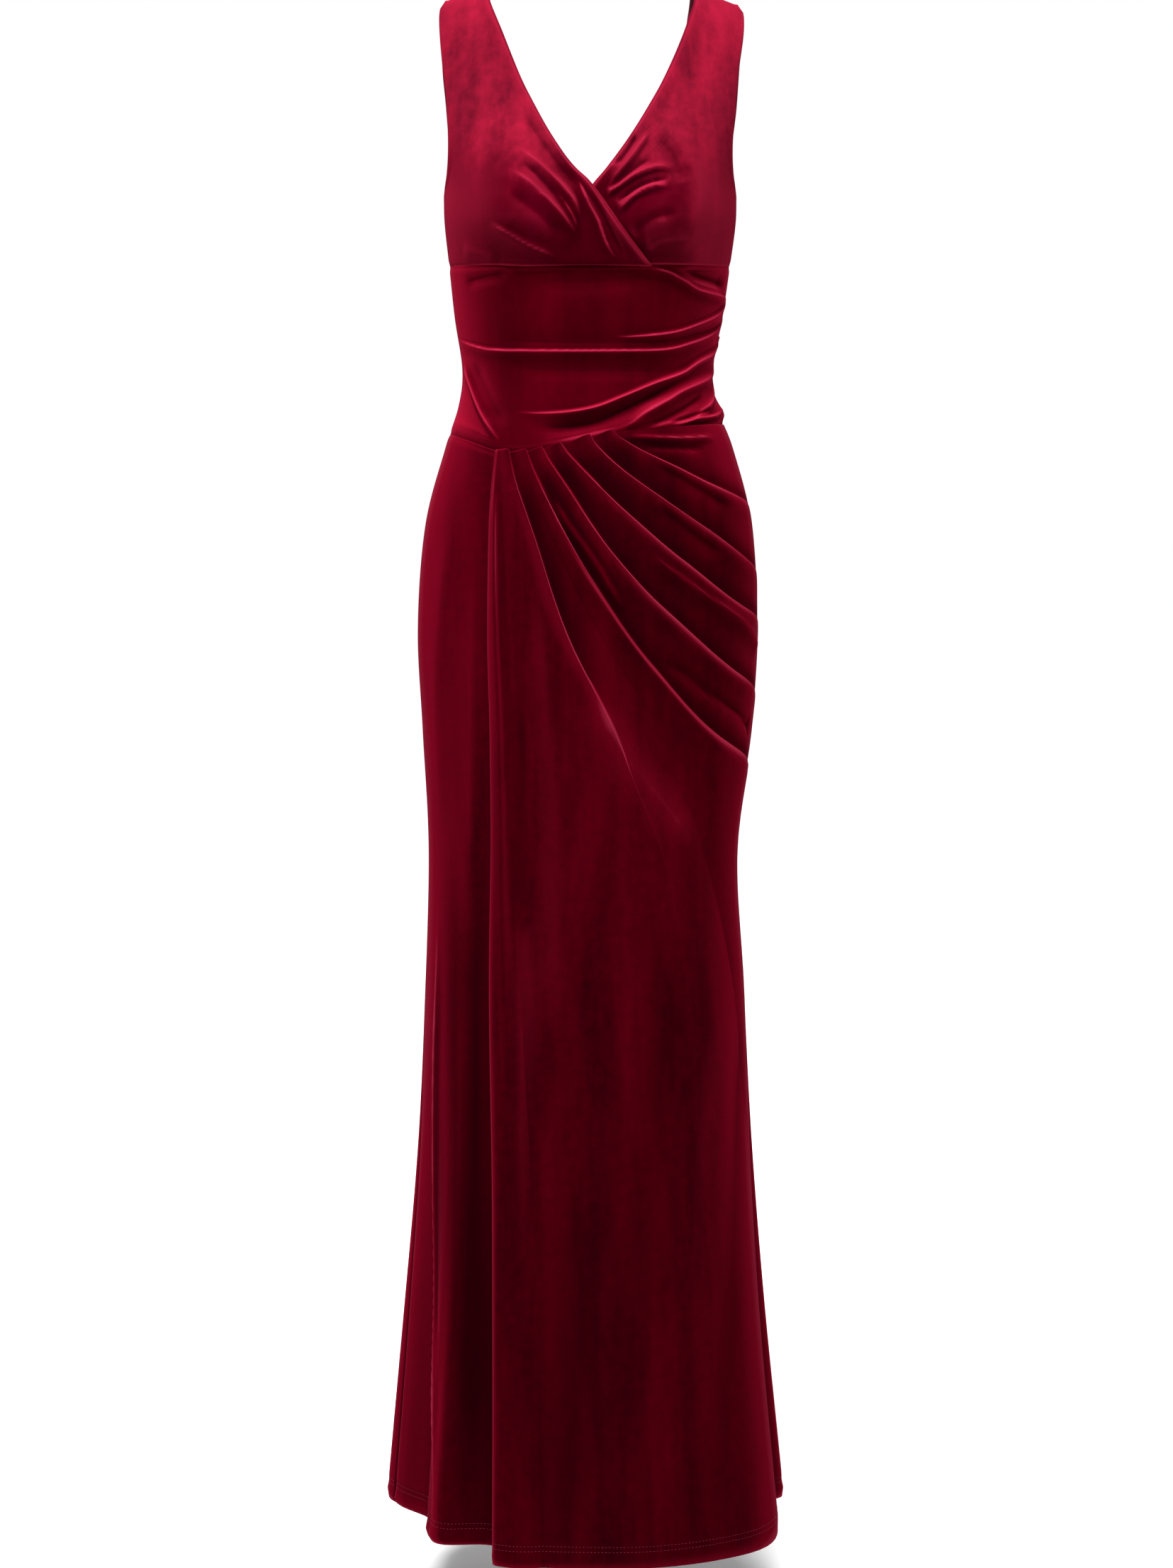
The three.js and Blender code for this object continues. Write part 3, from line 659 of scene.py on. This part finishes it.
def velvet(name, shade_colour, deep, pile, tip, shine, painted_light=None):
    """Stretch velvet: pile that is dark seen from above and bright from its side, on slopes and outlines.
    It lies in long brushed streaks about 45 mm wide, with patches of 9 mm where it is ruffled. Between
    two heights and beside the cups it is painted paler, as if lit from above and at its sides. The fold
    attribute paints highlights on crests and on slopes that face up, above 0, and shade in hollows, below
    0."""
    material, tree = fresh(name)
    place = add(tree, "ShaderNodeTexCoord").outputs["Object"]
    hang = add(tree, "ShaderNodeMapping", {"Scale": (1, 1, 0.1)}, {"Vector": place}).outputs[0]
    brushed = noise(tree, hang, 45, 5, 0.6)
    mottled = noise(tree, place, 9, 4, 0.65)
    patches = add(tree, "ShaderNodeMath", {1: 0.28}, {0: mottled, 2: brushed},
                  operation="MULTIPLY_ADD").outputs[0]
    nap = ramp(tree, patches, 0.46, 0.82)
    colour = tinted(tree, nap, linear(deep), linear(pile))
    # Painted light: the upper bodice is painted paler between two heights, as if lit from above, and
    # beside the cups, as a sheen at its sides
    if painted_light:
        low, high, painted_light_colours = painted_light
        parts = add(tree, "ShaderNodeSeparateXYZ", links={"Vector": place}).outputs
        wander = add(tree, "ShaderNodeMath", {1: 0.06}, {0: patches, 2: parts["Z"]},
                     operation="MULTIPLY_ADD").outputs[0]
        painted_light_share = ramp(tree, wander, low, high, kind="SMOOTHSTEP")
        for inner, outer in PAINTED_LIGHT_BESIDE_CUPS:
            beside = ramp(tree, parts["X"], inner, outer, 0, 0.8, "SMOOTHSTEP")
            painted_light_share = worked(tree, "MAXIMUM", painted_light_share, beside)
        streaks = tinted(tree, nap, linear(painted_light_colours[0]), linear(painted_light_colours[1]))
        colour = tinted(tree, painted_light_share, colour, streaks)
    fold = add(tree, "ShaderNodeAttribute", attribute_name="fold").outputs["Fac"]
    # Painted shade: where the fold attribute is below 0, the colour darkens towards the darkest one
    colour = tinted(tree, ramp(tree, fold, 0, -1, 0, 0.85), colour, linear(shade_colour))
    # Seen from its side the pile is brighter, and at the outline paler; on crests a highlight is
    # painted, paler where they are sharp, and all of it fades where shade is painted
    grazing = add(tree, "ShaderNodeLayerWeight", {"Blend": 0.5}).outputs["Facing"]
    edge = ramp(tree, grazing, 0.06, 0.85, kind="SMOOTHSTEP")
    crest = ramp(tree, fold, 0.1, 1, 0, 0.55)
    sharp = ramp(tree, fold, 0.5, 0.95, 0, 0.7)
    rim = ramp(tree, grazing, 0.66, 1, 0, 0.8)
    hidden = ramp(tree, fold, 0, -0.6, 1, 0.35)
    for share, light in ((edge, tip), (crest, tip), (sharp, shine), (rim, shine)):
        colour = tinted(tree, worked(tree, "MULTIPLY", share, hidden), colour, linear(light))
    # Tufts of pile are about 0.3 mm; they are drawn at 0.7 mm, so that they show at all
    tufts = bump(tree, noise(tree, place, 0.7), 0.3, 0.0004)
    coated(tree, {
        "Roughness": 0.8, "Specular IOR Level": 0, "Sheen Weight": 0.05,
        "Sheen Roughness": 0.35, "Sheen Tint": linear(tip),
    }, Base_Color=colour, Normal=bump(tree, patches, 0.35, 0.001, tufts))
    return material


def tinted(tree, share, first, second):
    """Mixes two colours, each a colour or a socket."""
    mixer = add(tree, "ShaderNodeMixRGB", links={"Fac": share})
    for key, colour in (("Color1", first), ("Color2", second)):
        if isinstance(colour, list):
            mixer.inputs[key].default_value = colour
        else:
            tree.links.new(colour, mixer.inputs[key])
    return mixer.outputs[0]


def jersey():
    """Knitted ground of the velvet, its wrong side: smooth and dull red. Its rows are about 0.4 mm
    apart; they are drawn at 0.9 mm, so that they show."""
    material, tree = fresh("velvet_jersey_ground")
    place = add(tree, "ShaderNodeTexCoord").outputs["UV"]
    rows = 2 * math.pi / 20 / (KNIT_ROW * MM)
    knit = add(tree, "ShaderNodeTexWave", {"Scale": rows, "Distortion": 0.6}, {"Vector": place},
               bands_direction="Y").outputs["Fac"]
    colour = tinted(tree, ramp(tree, knit, 0, 1, 0.1, 0.9), linear("#3b0413"), linear("#5a0a20"))
    coated(tree, {
        "Roughness": 0.7, "Specular IOR Level": 0.2, "Sheen Weight": 0.1,
        "Sheen Tint": linear("#8a2a40"),
    }, Base_Color=colour, Normal=bump(tree, knit, 0.3, 0.0003))
    return material


def thread():
    """Polyester sewing thread: twisted, dull, and a little lighter than the velvet."""
    material, tree = fresh("polyester_sewing_thread")
    place = add(tree, "ShaderNodeTexCoord").outputs["Object"]
    colour = tinted(tree, noise(tree, place, 1.1), linear("#3a0614"), linear("#641428"))
    coated(tree, {"Roughness": 0.6, "Specular IOR Level": 0.1}, Base_Color=colour)
    return material


PAINTED_LIGHT_BESIDE_CUPS = ((0.085, 0.112), (-0.122, -0.142))  # where the bodice is painted paler beside the cups, as a sheen, in metres across
THREAD = thread()
JERSEY = jersey()
# The bodice is painted paler high up and beside the cups, as light from above and the sides would make it
BODICE = velvet("stretch_velvet_bodice", "#140003", "#260004", "#320008", "#640c1e", "#6a1226",
                painted_light=(-0.15, -0.075, ("#34040e", "#640a1c")))
MIDRIFF = velvet("stretch_velvet_midriff", "#120003", "#280004", "#360006", "#6c081c", "#76162c")
SKIRT = velvet("stretch_velvet_skirt", "#100002", "#1b0003", "#340006", "#5a0414", "#701c2e")

# Panels


def hem_stitches(panel, points):
    """Two rows of stitches round the foot of a panel, each stitch a short oval of thread."""
    up = np.linalg.norm(np.diff(points[::-1], axis=0), axis=2)
    risen = np.concatenate([np.zeros((1, points.shape[1])), np.cumsum(up, axis=0)])
    sizes = Matrix.Diagonal((STITCH_LONG / 2, STITCH_THICK / 2, STITCH_THICK / 2, 1))
    bm = bmesh.new()
    for high in (HEM_DEPTH, HEM_DEPTH + NEEDLES_APART):
        line = np.array([
            [np.interp(high, risen[:, k], points[::-1, k, axis]) for axis in range(3)]
            for k in range(points.shape[1])
        ])
        gone = np.concatenate([[0], np.cumsum(np.linalg.norm(np.diff(line, axis=0), axis=1))])
        for start in np.arange(2, gone[-1] - 4, STITCH_PITCH):
            ends = [Vector([np.interp(start + d, gone, line[:, axis]) for axis in range(3)])
                    for d in (0, STITCH_LONG)]
            run = (ends[1] - ends[0]).normalized()
            out = Vector((0, 0, 1)).cross(run).normalized() * -1
            turned = Matrix((run, out, run.cross(out))).transposed().to_4x4()
            middle = Matrix.Translation((ends[0] + ends[1]) / 2 + out * STITCH_OUT)
            bmesh.ops.create_icosphere(bm, subdivisions=1, radius=1,
                                       matrix=Matrix.Scale(MM, 4) @ middle @ turned @ sizes)
    mesh = as_mesh(bm, panel + "_hem_stitches")
    mesh.shade_smooth()
    mesh.materials.append(THREAD)
    piece = put(mesh.name, mesh)
    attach(piece, "root")
    return piece


def side_edge(distance, z):
    """The side of a bodice panel: turned along the armhole, and sewn to the next one below it."""
    return mix(seam_tuck(distance), turned_edge(distance), smooth(-191, -172, z))


def bust_upper():
    def place(u, v):
        level = mix(SHOULDER_LEVEL, level_of(UNDERBUST_Z), v)
        z = ring_at(level)["z"]
        armhole = -armhole_across(level, "front")
        neck = across_of(read(NECK_UPPER, "z", "x", z), level)
        across = mix(armhole, neck, u)
        x = form_point(across, level)[..., 0]
        under = read(NECK_LOWER, "z", "x", z)
        lapped = smooth(under - WRAP_BESIDE[0], under - WRAP_BESIDE[1], x) * smooth(*WRAP_Z, z)
        out = WRAP_LIFT * lapped + crease_height(BUST_UPPER_CREASES, across, z)
        width = (neck - armhole) * round_length(level)
        side = side_edge(u * width, z)
        out = out + side + turned_edge((1 - u) * width) + seam_tuck(z - UNDERBUST_Z)
        return across, level, out
    cloth("bodice_front_right", BODICE, evenly(130), evenly(150), place)


def bust_lower():
    def place(u, v):
        level = mix(SHOULDER_LEVEL, level_of(UNDERBUST_Z), v)
        z = ring_at(level)["z"]
        armhole = armhole_across(level, "front")
        neck = across_of(read(NECK_LOWER, "z", "x", z), level)
        across = mix(neck, armhole, u)
        x = form_point(across, level)[..., 0]
        edge = read(NECK_UPPER, "z", "x", z)
        bare = smooth(edge + COVERED_BESIDE[0], edge + COVERED_BESIDE[1], x)
        shown = np.where(z < COVERED_Z, bare, 1)
        width = (armhole - neck) * round_length(level)
        side = side_edge((1 - u) * width, z)
        out = shown * crease_height(BUST_LOWER_CREASES, across, z)
        out = out + side + turned_edge(u * width) + seam_tuck(z - UNDERBUST_Z)
        return across, level, out
    cloth("bodice_front_left", BODICE, evenly(130), evenly(150), place)


def bodice_back(name, side):
    def place(u, v):
        level = mix(SHOULDER_LEVEL, level_of(UNDERBUST_Z), v)
        z = ring_at(level)["z"]
        armhole = 2 - armhole_across(level, "back")
        inner = np.where(z > NECK_BACK["z"][-1], read(NECK_BACK, "z", "x", z), 0)
        centre = 2 - np.abs(across_of(inner, level))
        across = mix(armhole, centre, u) if side > 0 else mix(-centre, -armhole, u)
        width = (centre - armhole) * round_length(level)
        share = u if side > 0 else 1 - u
        outer = side_edge(share * width, z)
        middle = np.where(inner > 0, turned_edge((1 - share) * width), seam_tuck((1 - share) * width))
        return across, level, outer + middle + seam_tuck(z - UNDERBUST_Z)
    cloth(name, BODICE, evenly(64), evenly(120), place)


def midriff(side, creases, calm, columns, rows):
    """The ruched band's front or back, whose creases are low as far as calm beside its side seams."""
    front = side == "front"

    def place(u, v):
        across = mix(-1, 1, u) if front else mix(1, 3, u)
        turn = across if front else 2 - across
        x = form_point(across, level_of(UNDERBUST_Z))[..., 0]
        bottom = waist_z(across) if front else waist_back_z(x)
        level = mix(level_of(UNDERBUST_Z), level_of(bottom), v)
        z = ring_at(level)["z"]
        held = smooth(0, 6, UNDERBUST_Z - z) * smooth(0, 8, z - bottom)
        sides = (1 - np.abs(turn)) * round_length(level)
        folds = crease_height(creases, turn, z) * mix(LOW_AT_SEAM, 1, smooth(0, calm, sides))
        if front:
            bunch = near(z - BUNCH_Z, BUNCH_TALL) * near((1 - across) * WAIST_QUARTER, BUNCH_WIDE)
            folds = folds + BUNCH_OUT * bunch
        tucks = seam_tuck(z - UNDERBUST_Z) + seam_tuck(z - bottom) + seam_tuck(sides)
        return across, level, held * folds + tucks
    cloth("midriff_" + side, MIDRIFF, evenly(columns), evenly(rows), place)


def read_line(points, z):
    """How far round a line of the drape lies at a height."""
    marks = np.array(points, float)
    return np.interp(-z, -marks[:, 1], marks[:, 0])


def skirt_plain():
    def place(u, v):
        across = mix(-1, UNDERLAP, u)
        top = waist_z(across)
        level = mix(level_of(top), level_of(HEM_Z), v)
        z = ring_at(level)["z"]
        shown = 1 - smooth(-0.36, -0.3, across)
        bands = shown * crease_height(PLAIN_BANDS, across, z)
        sides = (across + 1) * round_length(level)
        out = bands + seam_tuck(sides) + seam_tuck(top - z) + hem_shape(z, HEM_Z)
        # Painted shadow beside the drape's free edge and painted shade in the hollow behind the side fold,
        # and a painted highlight along that fold's crest
        beside = np.maximum(read_line(DRAPE_LINES[0][1], z) - across, 0) * round_length(level)
        overhung = OVERHUNG_SHADE * near(beside, OVERHUNG_WIDTH) * smooth(-600, -1300, z)
        behind = BEHIND_SHADE * near(across - BEHIND_ACROSS, BEHIND_WIDTH) * smooth(-900, -1250, z)
        x = form_point(across, level)[..., 0]
        crest = CREST_LIGHT * near(x - CREST_X, CREST_WIDTH) * smooth(-880, -1080, z)
        crest = crest * smooth(-0.68, -0.62, across)
        return across, level, out, overhung + behind - crest - BAND_PAINTED_LIGHT * bands + hem_shade(z)
    cloth("skirt_front_right", SKIRT, evenly(110), evenly(300), place, hem=slice(None))


def skirt_back(name, side):
    def place(u, v):
        across = mix(1, 2, u) if side > 0 else mix(-2, -1, u)
        turn = 2 - across if side > 0 else -2 - across
        x = form_point(across, level_of(-410))[..., 0]
        top = waist_back_z(x)
        level = mix(level_of(top), level_of(HEM_Z), v)
        z = ring_at(level)["z"]
        bands = crease_height(SKIRT_BACK_BANDS, turn, z)
        sides = (1 - np.abs(turn)) * round_length(level)
        middle = np.abs(turn) * round_length(level)
        bands = bands * smooth(0, 12, middle) * smooth(0, 12, sides)
        out = bands + seam_tuck(sides) + seam_tuck(middle)
        out = out + seam_tuck(top - z) + hem_shape(z, HEM_Z)
        return across, level, out, hem_shade(z) - BAND_PAINTED_LIGHT * bands
    cloth(name, SKIRT, evenly(80), evenly(200), place, hem=slice(None))


DRAPE_COLUMNS = (18, 24, 22, 24, 18, 18, 18, 16, 20)  # between its lines, closer towards each next one
COLUMN_CROWDING = 1.5
EDGE_ROOM = 0.9 * (1 - (1 - 1 / np.array(DRAPE_COLUMNS)) ** COLUMN_CROWDING)


def drape_columns():
    """Line number of each column, and how far it is round a pleat's edge, or -1 off the edges."""
    edge = np.linspace(0, 1, 9)
    lines, turns = [0.0], [-1.0]
    for i, count in enumerate(DRAPE_COLUMNS):
        for share in 1 - (1 - evenly(count)[1:]) ** COLUMN_CROWDING:
            c = i + share
            if share == 1 and c in PLEATS["line"]:
                lines += [c] * len(edge)
                turns += list(edge)
            else:
                lines.append(c)
                turns.append(-1.0)
    return np.array(lines), np.array(turns)


def pleat_roll(c, widths):
    """Rise of the cloth from one pleat's edge to the next, at lines and stations of the drape."""
    height = np.zeros(np.shape(c))
    stations = np.linspace(0, LAST_STATION, len(c))[:, None]
    first = 0
    for line, lift in zip(PLEATS["line"].astype(int), PLEATS["lift"]):
        inside = (c > first) & (c <= line)
        parts = [widths[:, k : k + 1] for k in range(first, line)]
        whole = sum(parts)
        before = sum(np.clip(k + 1 - c, 0, 1) * parts[k - first] for k in range(first, line))
        top = np.minimum(lift, DEEPEST_PLEAT * whole)
        roll = np.minimum(PLEAT_ROLL, 0.5 * whole)
        rise = np.clip(1 - before / whole, 0, 1) ** PLEAT_STEEPNESS
        rolled = rise - ROLL_DROP * np.clip(1 - before / roll, 0, 1) ** 3
        flatter = FLATTER_BY * smooth(*OTHERS_FLATTEN, stations)
        fades = 1 - (smooth(*LONGEST_ENDS, stations) if line == LONGEST else flatter)
        height = np.where(inside, top * rolled * fades, height)
        first = line
    return height


def past_pleats(c, widths):
    """Deep shade in the hollow that each pleat's edge overhangs."""
    shade = np.zeros(np.shape(c))
    stations = np.linspace(0, LAST_STATION, len(c))[:, None]
    for line in PLEATS["line"].astype(int):
        if line == LAST_LINE:
            continue
        gone = (c - line) * widths[:, line : line + 1]
        fades = 1 - smooth(*HOLLOW_ENDS, stations) if line == LONGEST else 1
        deep = np.where(gone > 0, near(gone, HOLLOW_WIDTH), 0)
        shade += HOLLOW_SHADE * fades * deep * smooth(0.1, 0.8, stations)
    return shade


def drape():
    lines, turns = drape_columns()
    stations = np.linspace(0, LAST_STATION, 206)
    routes = [np.array(points, float) for _, points in DRAPE_LINES]
    line_across = np.stack([along(route[:, 0], stations) for route in routes], 1)
    line_z = np.stack([along(route[:, 1], stations) for route in routes], 1)
    reach = np.stack([line_across * round_length(level_of(line_z)), line_z], -1)
    widths = np.linalg.norm(np.diff(reach, axis=1), axis=-1)

    def between(columns, c):
        i = np.clip(np.floor(c).astype(int), 0, LAST_LINE - 1)
        row = np.arange(len(stations))[:, None] + np.zeros(np.shape(c), int)
        return mix(columns[row, i], columns[row, i + 1], c - i)

    def place(u, v):
        column = np.rint(u).astype(int)
        c, turn = lines[column], turns[column]
        interval = np.clip(np.floor(c).astype(int), 0, LAST_LINE - 1)
        row = np.arange(len(stations))[:, None] + np.zeros(np.shape(c), int)

        # Pleats lie flatter where they are sewn into the side seam
        flatter = mix(FLAT_AT_SEAM, 1, 1 - smooth(0.62, 0.95, between(line_across, c)))
        rolled = flatter * pleat_roll(c, widths)

        # A high edge is undercut, and the columns of a low one just lie past its line
        round_edge = np.maximum(turn, 0) * (len(PLEAT_EDGE["over"]) - 1)
        over = along(PLEAT_EDGE["over"], round_edge)
        room = EDGE_ROOM[interval] * widths[row, interval]
        over = np.where(over > 0, over * np.minimum(1, room / 1.6), over)
        over = mix(turn * np.minimum(4, room), over, smooth(4, 8, rolled))
        rolled = np.where(turn >= 0, rolled * along(PLEAT_EDGE["height"], round_edge), rolled)
        width = widths[row, np.where(over < 0, interval - 1, interval)]
        moved = np.where(turn >= 0, over / np.maximum(width, 9), 0)
        shade = np.where(turn >= 0, 0, past_pleats(c, widths))

        # The lines meet the waist seam, and each pleat's head stands up over it
        c = c + moved
        across = np.minimum(between(line_across, c), 1)
        z = between(line_z, c)
        z = z + (waist_z(across[:1]) - z[:1]) * (1 - np.minimum(1, v))
        z = z + HEAD_STEP * np.sqrt(np.clip(rolled / 6, 0, 1)) * (1 - smooth(0, 0.25, v))
        level = level_of(np.maximum(z, FORM["z"][-1]))

        # The free edge stands off the plain panel towards the hem, with a soft fold beside it
        out = DRAPE_LIFT * (1 - smooth(0.5, 1, across))
        out = out + rolled
        out = out + EDGE_LIFT * smooth(*EDGE_STANDS, v) * (1 - smooth(*EDGE_REACHES, c))
        band = smooth(0, 0.5, c) * (1 - smooth(0.6, 1.05, c)) * smooth(0.2, 1.4, v)
        out = out + BAND_LIFT * band * (1 - 0.6 * smooth(2, 4.5, v))
        bands = smooth(0.5, 1.1, c) * crease_height(DRAPE_BANDS, across, z)
        out = out + bands + smooth(0.7, 1.2, c) * crease_height(DRAPE_CREASES, across, z)
        out = out - FREE_EDGE_DROP * near(c * np.maximum(widths[:, :1], 6), FREE_EDGE_WIDTH)
        out = out + seam_tuck((1 - across) * round_length(level))
        hem = np.where(z < -1300, hem_shape(z, FORM["z"][-1]), 0)
        return across, level, out + hem, shade - BAND_PAINTED_LIGHT * bands + hem_shade(z)

    cloth("skirt_front_drape", SKIRT, np.arange(len(lines)), stations, place, hem=lines <= HEM_CORNER)


# Stage, light and camera

CAMERA = {"away": 3.0, "height": -0.33, "down": math.radians(8.05), "focal_px": 4336}
PHOTO_HEIGHT_PX = 2212
SENSOR = 36
FLOOR_Z = -1.62  # below the hem, which hangs clear of it
AMBIENT = 0.3  # share of the white backdrop's light that reaches the dress


def camera():
    data = bpy.data.cameras.new("camera")
    data.lens = SENSOR * CAMERA["focal_px"] / PHOTO_HEIGHT_PX
    data.sensor_width = SENSOR
    data.clip_end = 100
    view = put("camera", data)
    view.location = (0, -CAMERA["away"], CAMERA["height"])
    view.rotation_euler = (math.pi / 2 - CAMERA["down"], 0, 0)
    bpy.context.scene.camera = view


def softbox(name, place, target, size, power):
    data = bpy.data.lights.new(name, "AREA")
    data.shape = "RECTANGLE"
    data.size, data.size_y = size
    data.energy = power
    lamp = put(name, data)
    lamp.location = place
    lamp.rotation_euler = (Vector(target) - Vector(place)).to_track_quat("-Z", "Y").to_euler()


def studio():
    softbox("left_softbox", (-2.4, -1.0, 0.6), (0, 0, -0.7), (0.6, 2.2), 18)
    softbox("right_softbox", (2.4, -0.8, 0.4), (0, 0, -0.7), (0.6, 2.2), 14)
    softbox("top_softbox", (-0.3, -1.2, 1.5), (0, 0, -0.3), (1.2, 0.8), 170)
    data = bpy.data.lights.new("high_window", "SUN")
    data.energy = 2.8
    data.angle = math.radians(26)
    lamp = put("high_window", data)
    lamp.rotation_euler = (math.radians(34), 0, math.radians(-7))
    world = bpy.data.worlds.new("studio_white")
    bpy.context.scene.world = world
    world.use_nodes = True
    tree = world.node_tree
    seen = add(tree, "ShaderNodeLightPath").outputs["Is Camera Ray"]
    strength = ramp(tree, seen, 0, 1, AMBIENT, 1)
    backdrop = tree.nodes["Background"]
    backdrop.inputs["Color"].default_value = (1, 1, 1, 1)
    tree.links.new(strength, backdrop.inputs["Strength"])
    bpy.context.scene.view_settings.view_transform = "Standard"


def floor():
    bm = bmesh.new()
    bmesh.ops.create_grid(bm, x_segments=1, y_segments=1, size=20)
    bmesh.ops.translate(bm, verts=bm.verts, vec=(0, 0, FLOOR_Z))
    mesh = as_mesh(bm, "floor")
    ground = put("floor", mesh)
    material, tree = fresh("matt_white_floor")
    coated(tree, {"Base Color": linear("#ffffff"), "Roughness": 0.9})
    mesh.materials.append(material)


camera()
studio()
floor()
bust_upper()
bust_lower()
bodice_back("bodice_back_right", -1)
bodice_back("bodice_back_left", 1)
midriff("front", MIDRIFF_CREASES, 50, 190, 200)
midriff("back", MIDRIFF_BACK_CREASES, 40, 170, 80)
skirt_plain()
drape()
skirt_back("skirt_back_right", -1)
skirt_back("skirt_back_left", 1)

bpy.context.view_layer.update()
